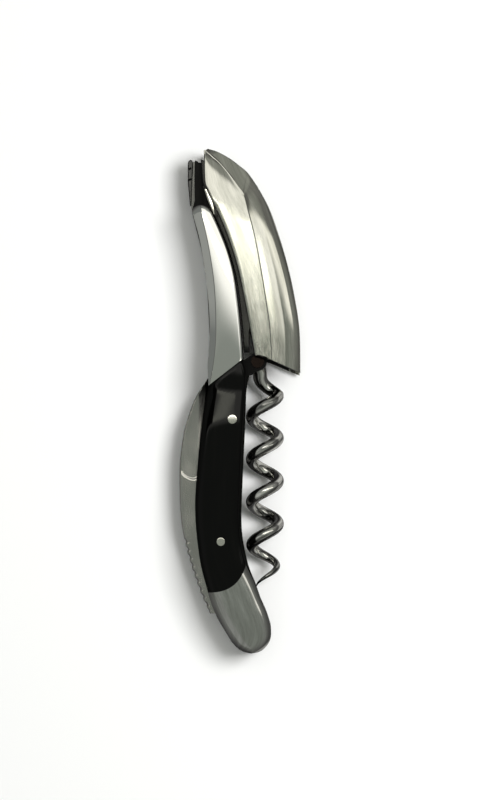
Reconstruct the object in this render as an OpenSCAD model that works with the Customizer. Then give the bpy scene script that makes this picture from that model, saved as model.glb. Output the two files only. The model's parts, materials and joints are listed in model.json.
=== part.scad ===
// Folding waiter's corkscrew: horn-scaled handle, channel lever, worm and foil blade.
// The object lies on its rear side: +Z is up, +Y runs towards the lever's hinge, and +X towards
// the worm. The origin is under the middle of the outline, on the resting surface.

/* [Handle layers] */
// Whole thickness across both scales
handle_t = 15.2; // [15:0.1:15.6]
// Gap between the liners, where springs, blade and hub sit
slot_w = 3.0; // [2.9:0.05:3.1]
// Thickness of each steel liner
liner_t = 1.5; // [1.2:0.1:1.6]
// How far the liners stand proud of the scales along the belly
liner_step = 0.3; // [0.1:0.05:0.4]

/* [Lever] */
// Wall of the lever's brushed shell
shell_wall = 1.2; // [1:0.1:1.4]
// Half width of the shell's back face
shell_back_half = 5.8; // [5.6:0.05:6]
// Thickness of each inner frame plate
frame_t = 1.5; // [1.2:0.1:1.5]
// Radius of the round end of the liners at the lever pin
lever_disc_r = 4.0; // [3.6:0.1:4.1]
// Radius of the cam that the lever spring presses on
cam_r = 2.9; // [2.6:0.1:2.9]

/* [Worm] */
// Radius of the helix, to the middle of the wire
helix_r = 3.25; // [3:0.05:3.3]
// Diameter of the wire
wire_d = 3.0; // [2.6:0.1:3]
// Rise of the worm in one turn
pitch = 10.68; // [10:0.01:11]
// Whole and part turns of the worm
turns = 4.5; // [4:0.5:4.5]

/* [Foil blade] */
// Thickness of the blade
blade_t = 2.0; // [1.6:0.1:2.4]
// Radius of the blade's round tang
tang_r = 3.3; // [3:0.1:3.3]

/* [Pins and fits] */
// Radius of the lever pin
lever_pin_r = 1.5; // [1.3:0.1:1.6]
// Radius of the worm pin
worm_pin_r = 1.05; // [0.9:0.05:1.2]
// Radius of the blade pin
blade_pin_r = 1.0; // [0.9:0.05:1.1]
// Radius of the upper and lower scale pins
scale_pin_r = [1.1, 1.0]; // [0.9:0.1:1.2]
// Radius of the hidden bolster rivets
rivet_r = 0.8; // [0.6:0.1:0.9]
// Running clearance round a pin
run_fit = 0.05; // [0.03:0.01:0.08]
// Side clearance between a moving piece and a liner
side_gap = 0.1; // [0.08:0.02:0.2]

/* [Hidden] */
$fn = 48;

mid_z = handle_t / 2;               // height of the middle plane
slot = slot_w / 2;                  // layer faces, measured from the middle plane
liner_z = slot + liner_t;
skin = handle_t / 2;
frame_z = liner_z + 0.2;
shell_in = frame_z + frame_t;       // inner face of the shell over the frames
moving = slot - side_gap;           // half thickness of hubs between the liners

lever_pivot = [-7.4, 56.0];
worm_pivot = [4.4, 9.7];
blade_pivot = [-2.4, -50.8];
upper_pin = [-1.9, -4.9];
lower_pin = [-4.75, -35.2];
top_rivets = [[-6.3, 40], [-5.9, 18]];
end_rivets = [[1.6, -47.6], [3.4, -58]];
tang_block = [-3.9, 51.6];          // block that ties the lever frames to the cam
hub_r = 2.3;                        // eye of the worm, and the ear of the liners round it
crest_half = 2.6;                   // half width of the notched plate
crest_nick = [0.9, 0.5];            // length and width of each nick in its edge
tang_half = 1.3;                    // half width of the arm that carries the cam
tang_gap = 0.5;                     // gap between the arm's thick part and the liners' discs
tang_over = 0.9;                    // how far the arm runs past its rivet
fork_r = 7.1;                       // reach of the slot that clears the notched plate
blind = 1;                          // cover left over the hidden pins and end rivets
head_h = 0.7;                       // height and radius of the worm pin's heads
head_r = 1.6;

// A smooth curve through the points p, with n steps between neighbours.
function blend4(a, b, c, d, t) =
    (2 * b + (c - a) * t + (2 * a - 5 * b + 4 * c - d) * t * t
     + (3 * b - a - 3 * c + d) * t * t * t) / 2;
function curve(p, n = 5) = concat(
    [for (i = [0:len(p) - 2], k = [0:n - 1])
        blend4(p[max(i - 1, 0)], p[i], p[i + 1], p[min(i + 2, len(p) - 1)], k / n)],
    [p[len(p) - 1]]);
function shifted(p, dx) = [for (q = p) [q.x + dx, q.y]];
function mix(a, b, t) = a + (b - a) * t;

// Outline of the handle, from its top down the belly side, round the end and up the back.
top_belly = [[-8.9, 48.5], [-7.5, 47.2], [-5.7, 43], [-3.2, 37], [-1.6, 31], [-0.45, 23],
             [0.3, 15], [0.6, 10]];
belly = [[1.4, 7], [1.35, 3], [1.15, -2], [0.9, -8], [0.4, -19], [0.05, -29], [0.5, -35],
         [1.8, -41], [3.4, -45]];
end_round = [[5.1, -49], [6.8, -53], [7.7, -57], [6.5, -61], [2.9, -62.8], [-1.1, -61],
             [-3.9, -57], [-6.1, -53]];
back = [[-8.0, -47.5], [-10.4, -36.3], [-11.1, -25], [-10.4, -15], [-8.9, -2.5],
        [-7.8, 4], [-7.9, 9], [-7.6, 15], [-8.3, 29], [-9.5, 37], [-12, 47.5]];
top_end = [[-11.4, 48.2], [-10.1, 48.5]];
handle_points = concat(curve(top_belly), curve(concat(belly, end_round, back)), top_end);

// Joints between horn and steel, seen from the front.
upper_joint = [[30, 24], [0.6, 10], [-3.1, 7.45], [-5.1, 6.1], [-7.1, 4.4], [-20, -9]];
lower_joint = curve([[-20, -45], [-7.9, -47.7], [-6.4, -48.2], [-4.9, -47.8], [-2.1, -46.3],
                     [0.9, -43.3], [3, -39.5], [12, -30]]);

module layer(side, inner, outer) {
    translate([0, 0, mid_z + (side > 0 ? inner : -outer)])
        linear_extrude(outer - inner) children();
}

module through(half) {
    translate([0, 0, mid_z - half]) linear_extrude(2 * half) children();
}

module rod(at, r, half) {
    translate([at.x, at.y, mid_z - half]) cylinder(r = r, h = 2 * half);
}

module bores(places, r) {
    for (at = places) rod(at, r, handle_t);
}

/* ---- handle ---- */

module liner_face() {
    polygon(concat(
        [[-11.4, 56.0], [-11.3, 60.0], [-10.8, 60.0], [-10.3, 59.5]],
        [for (a = [120:-15:-60]) lever_pivot + lever_disc_r * [cos(a), sin(a)]],
        [[-6.7, 50.5], [-6.9, 47.8]],
        shifted(curve([for (i = [2:len(top_belly) - 1]) top_belly[i]]), liner_step),
        [[2.4, 11.0]],
        [for (a = [120:-20:-60]) worm_pivot + hub_r * [cos(a), sin(a)]],
        shifted(curve(concat([[2.1, 6.5]], [for (i = [1:len(belly) - 1]) belly[i]])), liner_step),
        curve(concat(end_round, back)),
        [[-11.3, 50]]));
}

module liner(side) {
    color("silver") difference() {
        layer(side, slot, liner_z) liner_face();
        bores([lever_pivot], lever_pin_r);
        bores([worm_pivot], worm_pin_r);
        bores([blade_pivot], blade_pin_r);
        bores([upper_pin], scale_pin_r[0]);
        bores([lower_pin], scale_pin_r[1]);
        bores(concat(top_rivets, end_rivets), rivet_r);
    }
}

module scale_side(side) {
    color("black") difference() {
        layer(side, liner_z, skin) intersection() {
            polygon(handle_points);
            polygon(concat(upper_joint, lower_joint));
        }
        bores([upper_pin], scale_pin_r[0]);
        bores([lower_pin], scale_pin_r[1]);
    }
}

module top_bolster(side) {
    color("gainsboro") difference() {
        layer(side, liner_z, skin) intersection() {
            polygon(handle_points);
            polygon(concat(upper_joint, [[-30, 70], [30, 70]]));
        }
        for (at = top_rivets) rod(at, rivet_r, skin - blind);
    }
}

module end_bolster(side) {
    color("gainsboro") difference() {
        layer(side, liner_z, skin) intersection() {
            polygon(handle_points);
            polygon(concat(lower_joint, [[30, -80], [-30, -80]]));
        }
        for (at = end_rivets) rod(at, rivet_r, skin - blind);
        rod(blade_pivot, blade_pin_r, skin - blind);
    }
}

module spring_face() {
    polygon(concat(
        curve([[-7.75, 9.2], [-7.6, 15], [-8.3, 29], [-9.5, 37], [-12.0, 47.5], [-12.2, 52],
               [-11.9, 56], [-11.8, 59.9]]),
        [[-10.9, 59.9], [-10.6, 59.4]],
        [for (a = [160:15:205]) lever_pivot + (cam_r + side_gap) * [cos(a), sin(a)]],
        curve([[-10.1, 50], [-9.2, 46], [-6.9, 37], [-5.7, 29], [-4.6, 21], [-4.4, 13],
               [-5.6, 9.6]])));
}

// Back spring of the lever: its head hooks round the cam, its foot is riveted low down.
module lever_spring() {
    color("lightgray") difference() {
        through(slot) spring_face();
        bores([top_rivets[1]], rivet_r);
    }
}

// Notched thumb plate on the back of the spring's head.
module spring_crest() {
    color("silver") difference() {
        through(crest_half) polygon([[-12.15, 49.2], [-12.05, 53], [-11.9, 56], [-11.8, 59.6],
                              [-12.0, 60.2], [-12.5, 60.3], [-12.95, 59.8], [-13.05, 57],
                              [-13.05, 54.5], [-12.75, 51.5], [-12.55, 49.2]]);
        for (y = [57.7, 55.5])
            translate([-13.2, y, mid_z]) rotate([0, 0, 30])
                cube([crest_nick[0], crest_nick[1], handle_t], center = true);
        through(crest_half) spring_face();
    }
}

// Bar between blade and worm: one end bears on the worm's hub, the other on the blade's tang.
module centre_spring() {
    hub_side = [for (a = [175:12:211]) worm_pivot + (hub_r + side_gap) * [cos(a), sin(a)]];
    tang_side = [for (a = [75:15:120]) blade_pivot + (tang_r + side_gap) * [cos(a), sin(a)]];
    color("gray") difference() {
        through(slot) polygon(concat(
            hub_side,
            curve([[2.0, 6.8], [1.1, 2], [0.6, -8], [-0.2, -19], [-0.7, -29], [-0.6, -37],
                   [-0.7, -43]]),
            tang_side,
            curve([[-4.5, -44], [-5.2, -38], [-5.3, -30], [-5.3, -20], [-4.8, -10], [-4, -2],
                   [-2.0, 4.4], [0.4, 9.0]])));
        bores([upper_pin], scale_pin_r[0]);
        bores([lower_pin], scale_pin_r[1]);
    }
}

module scale_pin(at, r) {
    color("white") rod(at, r, skin);
}

module top_bolster_rivets() {
    color("white") for (at = top_rivets) rod(at, rivet_r, skin - blind);
}

module end_bolster_rivets() {
    color("white") for (side = [-1, 1])
        layer(side, slot, skin - blind) for (at = end_rivets) translate(at) circle(rivet_r);
}

module lever_pivot_pin() {
    color("white") rod(lever_pivot, lever_pin_r, shell_in - 0.1);
}

module worm_pivot_pin() {
    color("white") {
        rod(worm_pivot, worm_pin_r, liner_z + head_h);
        for (side = [-1, 1])
            layer(side, liner_z, liner_z + head_h) translate(worm_pivot) circle(head_r);
    }
}

module blade_pivot_pin() {
    color("white") rod(blade_pivot, blade_pin_r, skin - blind);
}

/* ---- lever ---- */

steps = 3;                          // rings between two stations of the shell
notch_half = 5.05;                  // half width and top of the notch in the mouth
notch_top = 16.8;

// Stations of the shell from its tip to its mouth: free edge, crease and back edge seen from
// the front, then the half widths at the crease and at the back.
shell_edge = [[-9, 62.3], [-8.95, 59], [-8.8, 56], [-8.25, 53], [-6.55, 50], [-3.7, 44],
              [-0.9, 35.5], [1.1, 26.5], [2.5, 18.5], [4.0, 11]];
shell_crease = [[-8.6, 62.5], [-6.2, 60.3], [-2.9, 57.4], [0, 54.2], [1.5, 50], [2.4, 44.2],
                [4.3, 35.4], [6, 26.5], [7.4, 18], [7.9, 9.8]];
shell_back = [[-8, 62.8], [-4.2, 61.3], [-0.6, 59.1], [2.9, 55.9], [6.2, 50.1], [8.6, 44],
              [11.3, 35.4], [13.4, 26.5], [14.8, 17.5], [15.1, 6.7]];
shell_half = concat([[6, 5], [6.6, 5.4], [7.2, 5.7], [7.5, 5.8]],
                    [for (i = [4:len(shell_edge) - 1]) [skin, shell_back_half]]);

// Each ring runs from the front free edge over the back to the rear free edge.
function outer_ring(e, c, b, h) =
    let (crest = min(skin, h[0]), low = min(shell_back_half, h[1]))
    [[e.x, e.y, crest], [c.x, c.y, crest], [b.x, b.y, low],
     [b.x, b.y, -low], [c.x, c.y, -crest], [e.x, e.y, -crest]];
function cavity_ring(e, c, b, h, wall) =
    let (out = (e - b) / norm(e - b), edge = e + out * 4, back = b + out * wall,
         deep = max(shell_in, h[0] - wall), low = max(frame_z, h[1] - wall))
    [[edge.x, edge.y, deep], [c.x, c.y, deep], [back.x, back.y, low],
     [back.x, back.y, -low], [c.x, c.y, -deep], [edge.x, edge.y, -deep]];

module loft(rings) {
    n = len(rings[0]);
    last = len(rings) - 1;
    translate([0, 0, mid_z]) polyhedron(
        points = [for (ring = rings, p = ring) p],
        faces = concat(
            [for (i = [0:last - 1], k = [0:n - 1])
                let (a = i * n + k, b = i * n + (k + 1) % n) each [[a, b, b + n], [a, b + n, a + n]]],
            [[for (k = [n - 1:-1:0]) k], [for (k = [0:n - 1]) last * n + k]]));
}

module lever_shell() {
    e = curve(shell_edge, steps);
    c = curve(shell_crease, steps);
    b = curve(shell_back, steps);
    h = curve(shell_half, steps);
    count = len(e) - 1;
    past = e[count] - e[count - 1];
    color("lightsteelblue") difference() {
        loft([for (i = [0:count]) outer_ring(e[i], c[i], b[i], h[i])]);
        loft(concat(
            [for (i = [2:count]) cavity_ring(e[i], c[i], b[i], h[i], shell_wall)],
            [cavity_ring(e[count] + past, c[count] + past, b[count] + past, h[count],
                         shell_wall)]));
        rod(lever_pivot, fork_r, frame_z);
        translate([0, 0, mid_z]) mouth_notch();
    }
}

// The notch that makes the mouth a fork: it lets the worm swing out while the lever is shut.
module mouth_notch() {
    translate([2.5, 0, -notch_half]) cube([20, notch_top, 2 * notch_half]);
}

module lever_frame(side) {
    color("slategray") difference() {
        layer(side, frame_z, shell_in) polygon(concat(
            [[-9.8, 60.2], [-9.7, 57], [-9.5, 54], [-8.9, 52.2], [-7.9, 49.4], [-7.2, 48]],
            curve([[-6.2, 45.6], [-3.2, 38.4], [-1.1, 31], [0.05, 23], [0.8, 15], [1.0, 12.4]]),
            [[3.0, 12.4]],
            curve([[3.1, 15], [3.4, 23], [2.2, 31], [0.5, 38.4], [-1.2, 45.6], [-1.0, 51],
                   [-3.0, 56], [-6.6, 59.6]]),
            [[-9.1, 59.8], [-9.2, 60.5]]));
        bores([lever_pivot], lever_pin_r + run_fit);
        bores([tang_block], rivet_r);
    }
}

module lever_tang() {
    reach = tang_block - lever_pivot;
    turn = atan2(reach.y, reach.x);
    far = norm(reach);
    color("dimgray") difference() {
        union() {
            rod(lever_pivot, cam_r, moving);
            translate([lever_pivot.x, lever_pivot.y, mid_z]) rotate([0, 0, turn]) {
                translate([0, -tang_half, -moving]) cube([far, 2 * tang_half, 2 * moving]);
                translate([lever_disc_r + tang_gap, -tang_half, -frame_z])
                    cube([far - lever_disc_r + tang_over, 2 * tang_half, 2 * frame_z]);
            }
        }
        bores([lever_pivot], lever_pin_r + run_fit);
        bores([tang_block], rivet_r);
    }
}

module frame_rivets() {
    color("white") rod(tang_block, rivet_r, shell_in);
}

/* ---- worm ---- */

// Middle of the wire, its radius, and its turn angle: a short lead-in winds out from the hub,
// then the helix runs down to a point.
axis_x = 6.2;
helix_top = 1.4;
lead = 150;                          // degrees of lead-in
lead_rise = 5.6;                     // height that the lead-in climbs to the hub
hub_x = 5.0;                         // where it ends, at the hub
last_angle = 360 * turns;
narrowing = 300;                     // degrees over which the last coil narrows
last_coil_r = 2.1;
taper = 420;                         // degrees over which the wire tapers to its point
point_r = 0.12;
function coil_r(a) =
    a < 0 ? helix_r * pow(1 + a / lead, 1.3)
          : a < last_angle - narrowing ? helix_r
          : mix(helix_r, last_coil_r, pow((a - last_angle + narrowing) / narrowing, 1.5));
function wire_r(a) =
    a < last_angle - taper ? wire_d / 2
                           : mix(wire_d / 2, point_r, pow((a - last_angle + taper) / taper, 1.4));
function worm_point(a) =
    a < 0 ? let (t = -a / lead)
            [mix(axis_x, hub_x, t) + coil_r(a) * cos(a), helix_top + lead_rise * t,
             coil_r(a) * sin(a)]
          : [axis_x + coil_r(a) * cos(a), helix_top - pitch * a / 360, coil_r(a) * sin(a)];
function unit(v) = v / norm(v);
function wire_ring(a, sides) =
    let (p = worm_point(a), along = unit(worm_point(a + 1) - worm_point(a - 1)),
         radial = unit([cos(a), 0, sin(a)]), side = unit(cross(along, radial)),
         up = cross(side, along), r = wire_r(a))
    [for (k = [0:sides - 1]) p + r * (cos(360 * k / sides) * up - sin(360 * k / sides) * side)];

module worm() {
    color("dimgray")
        loft([for (a = concat([for (a = [20 - lead:20:last_angle - 20]) a], [last_angle]))
            wire_ring(a, 10)]);
}

// Eye round the worm pin, with the stub that the wire is forged on to.
module worm_hub() {
    color("gray") difference() {
        union() {
            rod(worm_pivot, hub_r, moving);
            through(moving) polygon([[2.6, 8.4], [3.8, 6.2], [4.6, 5.2], [7.0, 5.6],
                                     [7.2, 8.0], [6.5, 10.0]]);
        }
        bores([worm_pivot], worm_pin_r + run_fit);
    }
}

/* ---- foil blade ---- */

blade_spine = [[-8.0, 5.7], [-9.8, 3], [-11.9, -1], [-13.8, -7], [-14.95, -15], [-15.05, -22],
               [-14.5, -31], [-12.75, -39], [-10.1, -47], [-7.4, -53]];
blade_edge = [[-6.0, -48], [-6.1, -42], [-6.4, -35], [-6.5, -25], [-6.6, -15], [-7.0, -5],
              [-7.6, 2]];
module foil_blade() {
    color("lightgray") difference() {
        union() {
            through(blade_t / 2) polygon(concat(curve(blade_spine), [[-6.25, -52.9]],
                                                curve(blade_edge)));
            rod(blade_pivot, tang_r, moving);
            through(blade_t / 2) polygon([[-6.25, -52.9], blade_pivot, [-4.9, -48.6], [-6, -47]]);
        }
        bores([blade_pivot], blade_pin_r + run_fit);
    }
}

liner(1);  // front_liner
liner(-1);  // rear_liner
scale_side(1);  // front_scale
scale_side(-1);  // rear_scale
top_bolster(1);  // front_top_bolster
top_bolster(-1);  // rear_top_bolster
end_bolster(1);  // front_end_bolster
end_bolster(-1);  // rear_end_bolster
lever_spring();
spring_crest();
centre_spring();
scale_pin(upper_pin, scale_pin_r[0]);  // upper_scale_pin
scale_pin(lower_pin, scale_pin_r[1]);  // lower_scale_pin
top_bolster_rivets();
end_bolster_rivets();
lever_pivot_pin();
worm_pivot_pin();
blade_pivot_pin();
lever_shell();
lever_frame(1);  // front_lever_frame
lever_frame(-1);  // rear_lever_frame
lever_tang();
frame_rivets();
worm();
worm_hub();
foil_blade();
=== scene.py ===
"""Looks of the folding waiter's corkscrew: refined pieces, materials, floor, light and camera."""
import json
import math

import bmesh
import bpy
import numpy as np
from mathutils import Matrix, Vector


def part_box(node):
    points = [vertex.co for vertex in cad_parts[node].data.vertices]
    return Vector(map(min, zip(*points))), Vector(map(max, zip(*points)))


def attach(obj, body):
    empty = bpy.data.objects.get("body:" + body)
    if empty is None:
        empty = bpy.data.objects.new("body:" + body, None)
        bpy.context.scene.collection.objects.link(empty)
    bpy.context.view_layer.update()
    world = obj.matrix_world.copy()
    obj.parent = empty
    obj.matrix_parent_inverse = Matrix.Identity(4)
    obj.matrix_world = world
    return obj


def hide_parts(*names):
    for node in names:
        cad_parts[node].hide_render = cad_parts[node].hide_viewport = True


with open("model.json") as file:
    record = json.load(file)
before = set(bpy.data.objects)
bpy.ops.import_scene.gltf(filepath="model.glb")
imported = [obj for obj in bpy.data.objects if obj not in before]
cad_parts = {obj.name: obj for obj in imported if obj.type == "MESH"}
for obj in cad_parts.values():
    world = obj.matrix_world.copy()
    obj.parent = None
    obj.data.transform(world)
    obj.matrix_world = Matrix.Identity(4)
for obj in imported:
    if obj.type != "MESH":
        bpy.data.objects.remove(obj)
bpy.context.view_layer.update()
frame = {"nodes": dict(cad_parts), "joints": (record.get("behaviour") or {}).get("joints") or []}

MM = 0.001


def node_middle(name):
    """Middle of a CAD node's box, in millimetres."""
    low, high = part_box(name)
    return [(a + b) / 2 / MM for a, b in zip(low, high)]


# Everything below is in millimetres, and heights count from the middle plane, until to_object
# puts a piece into the shared frame.
MID_Z = node_middle("upper_scale_pin")[2]


def level(name, face=1):
    """Height of a CAD node's top (face 1) or underside (face 0)."""
    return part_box(name)[face].z / MM - MID_Z


SKIN = level("upper_scale_pin")
LINER = level("front_liner")
FRAME_IN = level("front_lever_frame", 0)
FRAME_OUT = level("front_lever_frame")
PIVOT = {j["name"]: np.array(j["pos_m"][:2]) / MM for j in frame["joints"]}
LEVER_PIVOT = PIVOT["lever_swing"]
WORM_PIVOT = PIVOT["worm_swing"]
BLADE_PIVOT = PIVOT["blade_swing"]


# ---------------------------------------------------------------- curves

def dense_curve(points, steps=24):
    """A centripetal Catmull-Rom curve through the points."""
    p = np.array(points, float)
    p = np.vstack([2 * p[0] - p[1], p, 2 * p[-1] - p[-2]])
    out = []
    for a, b, c, d in zip(p[:-3], p[1:-2], p[2:-1], p[3:]):
        ta = math.sqrt(max(np.linalg.norm(b - a), 1e-6))
        tb = ta + math.sqrt(max(np.linalg.norm(c - b), 1e-6))
        tc = tb + math.sqrt(max(np.linalg.norm(d - c), 1e-6))
        for k in range(steps):
            t = ta + (tb - ta) * k / steps
            ab = a + (b - a) * t / ta
            bc = b + (c - b) * (t - ta) / (tb - ta)
            cd = c + (d - c) * (t - tb) / (tc - tb)
            abc = ab + (bc - ab) * t / tb
            bcd = bc + (cd - bc) * (t - ta) / (tc - ta)
            out.append(abc + (bcd - abc) * (t - ta) / (tb - ta))
    out.append(p[-2])
    return np.array(out)


def resample(line, where):
    """Points of a polyline at the given fractions of its length."""
    step = np.linalg.norm(np.diff(line, axis=0), axis=1)
    run = np.concatenate([[0], np.cumsum(step)])
    at = np.asarray(where, float) * run[-1]
    return np.stack([np.interp(at, run, line[:, k]) for k in range(line.shape[1])], axis=1)


def curve(points, where):
    """Points of the smooth curve at the given fractions of its length."""
    return resample(dense_curve(points), where)


def distance(points, line):
    """Distance from each point to a polyline."""
    p = points.reshape(-1, 1, 2)
    a, b = line[None, :-1], line[None, 1:]
    along = b - a
    t = ((p - a) * along).sum(-1) / np.maximum((along ** 2).sum(-1), 1e-12)
    nearest = a + np.clip(t, 0, 1)[..., None] * along
    return np.linalg.norm(p - nearest, axis=-1).min(1).reshape(points.shape[:-1])


def smooth(a, b, x):
    """Soft step from 0 at a to 1 at b."""
    t = np.clip((np.asarray(x, float) - a) / (b - a), 0, 1)
    return t * t * (3 - 2 * t)


# ---------------------------------------------------------------- meshes

# An edge is shaded sharp where the surface turns by more than this.
SHARP_DEG = 32


def to_object(name, bm, sharp_deg=SHARP_DEG):
    """Turns a bmesh in millimetres round the middle plane into an object in the shared frame."""
    bmesh.ops.remove_doubles(bm, verts=bm.verts, dist=1e-4)
    bmesh.ops.dissolve_degenerate(bm, edges=bm.edges, dist=1e-4)
    bmesh.ops.recalc_face_normals(bm, faces=bm.faces)
    for v in bm.verts:
        v.co = Vector((v.co.x, v.co.y, v.co.z + MID_Z)) * MM
    mark_sharp(bm, sharp_deg)
    mesh = bpy.data.meshes.new(name)
    bm.to_mesh(mesh)
    bm.free()
    obj = bpy.data.objects.new(name, mesh)
    bpy.context.scene.collection.objects.link(obj)
    return obj


def mark_sharp(bm, sharp_deg):
    """Shades every face smooth, with sharp edges where the surface turns by more than the angle."""
    for f in bm.faces:
        f.smooth = True
    for e in bm.edges:
        e.smooth = e.smooth and len(e.link_faces) == 2 and e.calc_face_angle(0) < math.radians(sharp_deg)


def combine(obj, other, operation):
    """Boolean of obj with other, which is used up."""
    cut = obj.modifiers.new("cut", "BOOLEAN")
    cut.operation = operation
    cut.solver = "EXACT"
    cut.object = other
    bpy.context.view_layer.update()
    graph = bpy.context.evaluated_depsgraph_get()
    mesh = bpy.data.meshes.new_from_object(obj.evaluated_get(graph))
    obj.modifiers.clear()
    obj.data = mesh
    bm = bmesh.new()
    bm.from_mesh(mesh)
    bmesh.ops.remove_doubles(bm, verts=bm.verts, dist=1e-7)
    mark_sharp(bm, SHARP_DEG)
    bm.to_mesh(mesh)
    bm.free()
    bpy.data.objects.remove(other)


def grid_faces(bm, verts, uv_layer=None, uvs=None, closed=False):
    """Quads between the rows of a grid of vertices, with flow coordinates if given."""
    rows, cols = len(verts), len(verts[0])
    for i in range(rows - 1):
        for j in range(cols if closed else cols - 1):
            k = (j + 1) % cols
            ids = [(i, j), (i, k), (i + 1, k), (i + 1, j)]
            face = bm.faces.new([verts[a][b] for a, b in ids])
            if uv_layer:
                wrap = [(i, j), (i, j + 1), (i + 1, j + 1), (i + 1, j)] if closed else ids
                for loop, (a, b) in zip(face.loops, wrap):
                    loop[uv_layer].uv = uvs[a][b]


def between_sheets(name, plan, high, low, uvs, sharp_deg=SHARP_DEG):
    """A solid between two height-mapped sheets over the same grid of plan points."""
    bm = bmesh.new()
    layer = bm.loops.layers.uv.new("flow")
    rows, cols = plan.shape[:2]
    top, bottom = ([[bm.verts.new((*plan[i, j], z[i, j])) for j in range(cols)] for i in range(rows)]
                   for z in (high, low))
    grid_faces(bm, top, layer, uvs)
    grid_faces(bm, bottom, layer, uvs)
    rim = ([(0, j) for j in range(cols)] + [(i, cols - 1) for i in range(1, rows)]
           + [(rows - 1, j) for j in range(cols - 2, -1, -1)]
           + [(i, 0) for i in range(rows - 2, 0, -1)])
    for a, b in zip(rim, rim[1:] + rim[:1]):
        face = bm.faces.new([top[a[0]][a[1]], top[b[0]][b[1]], bottom[b[0]][b[1]], bottom[a[0]][a[1]]])
        for loop, (i, j) in zip(face.loops, (a, b, b, a)):
            loop[layer].uv = uvs[i][j]
    return to_object(name, bm, sharp_deg)


def slab(name, plan, heights, base, side, uvs):
    """A solid over a grid of plan points: flat at base, height-mapped on the outside."""
    return between_sheets(name, plan, side * (base + heights), np.full_like(heights, side * base), uvs)


def plan_grid(belly, back, bow, edge_r, inner=9, rings=5):
    """Points across from the belly line to the back line, packed close along both edges.
    Row i bends sideways by bow[i] at its middle. The second result is the flow coordinates:
    millimetres along the piece and across it."""
    most_edge = 0.45    # of the width, for each packed edge
    rows, flow = [], []
    run = np.concatenate([[0], np.cumsum(np.linalg.norm(np.diff((belly + back) / 2, axis=0), axis=1))])
    edge = edge_r * (1 - np.cos(np.linspace(0, math.pi / 2, rings + 1)))
    for b, k, bend, u in zip(belly, back, bow, run):
        width = max(np.linalg.norm(k - b), 1e-3)
        near = edge * min(1, most_edge * width / edge_r) / width
        t = np.concatenate([near, np.linspace(near[-1], 1 - near[-1], inner + 2)[1:-1], 1 - near[::-1]])
        across = (k - b) / width
        normal = np.array([-across[1], across[0]])
        rows.append(b + np.outer(t, k - b) + np.outer(4 * t * (1 - t) * bend, normal))
        flow.append(np.stack([np.full_like(t, u), t * width], axis=1))
    return np.array(rows), np.array(flow)


def creased_grid(belly, crease, back, bow):
    """Like plan_grid, with a column along a crease line between the two edges. The columns are packed
    close at the edges and at the crease. The third result is how many lie before the crease, with it."""
    near = np.array([0, 0.015, 0.03, 0.06, 0.1])
    first = np.concatenate([near, np.linspace(0.16, 0.90, 12), 1 - near[::-1] * 0.6])
    second = np.array([0.04, 0.08, 0.14, 0.3, 0.5, 0.7, 0.85, 0.95, 1])
    rows, flow = [], []
    run = np.concatenate([[0], np.cumsum(np.linalg.norm(np.diff(crease, axis=0), axis=1))])
    for b, c, k, bend, u in zip(belly, crease, back, bow, run):
        width = np.linalg.norm(k - b)
        across = (k - b) / width
        points = np.vstack([b + np.outer(first, c - b), c + np.outer(second, k - c)])
        t = (points - b) @ across / width
        points = points + np.outer(4 * t * (1 - t) * bend, [-across[1], across[0]])
        rows.append(points)
        flow.append(np.stack([np.full_like(t, u), t * width], axis=1))
    return np.array(rows), np.array(flow), len(first)


def rounded(d, r):
    """Quarter-round rise from 0 at the edge to 1 at distance r from it."""
    return np.sqrt(np.clip(1 - (1 - np.clip(d, 0, r) / r) ** 2, 0, 1))


def lathe(name, profile, at, sides=48):
    """Solid of revolution about a vertical line: profile is (radius, height) pairs."""
    bm = bmesh.new()
    rings = []
    for r, z in profile:
        if r < 1e-6:
            rings.append([bm.verts.new((at[0], at[1], z))])
        else:
            rings.append([bm.verts.new((at[0] + r * math.cos(2 * math.pi * k / sides),
                                        at[1] + r * math.sin(2 * math.pi * k / sides), z))
                          for k in range(sides)])
    for a, b in zip(rings, rings[1:]):
        for k in range(sides):
            quad = [a[k % len(a)], a[(k + 1) % len(a)], b[(k + 1) % len(b)], b[k % len(b)]]
            bm.faces.new(list(dict.fromkeys(quad)))
    return to_object(name, bm)


# ---------------------------------------------------------------- materials

class Nodes:
    """Helpers that add nodes to a shader tree. A value is a number, a colour or another node's output."""

    def __init__(self, tree):
        self.tree = tree

    def plug(self, socket, value):
        if isinstance(value, bpy.types.NodeSocket):
            self.tree.links.new(value, socket)
        elif socket.type == "RGBA":
            socket.default_value = (*value, 1)
        else:
            socket.default_value = value

    def node(self, kind, **inputs):
        made = self.tree.nodes.new(kind)
        for key, value in inputs.items():
            self.plug(made.inputs[key.replace("_", " ")], value)
        return made

    def math(self, kind, a, b):
        made = self.node("ShaderNodeMath")
        made.operation = kind
        self.plug(made.inputs[0], a)
        self.plug(made.inputs[1], b)
        return made.outputs[0]

    def mix(self, fac, a, b):
        made = self.node("ShaderNodeMix")
        made.data_type = "RGBA"
        for socket, value in zip((made.inputs[0], made.inputs[6], made.inputs[7]), (fac, a, b)):
            self.plug(socket, value)
        return made.outputs[2]


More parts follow.
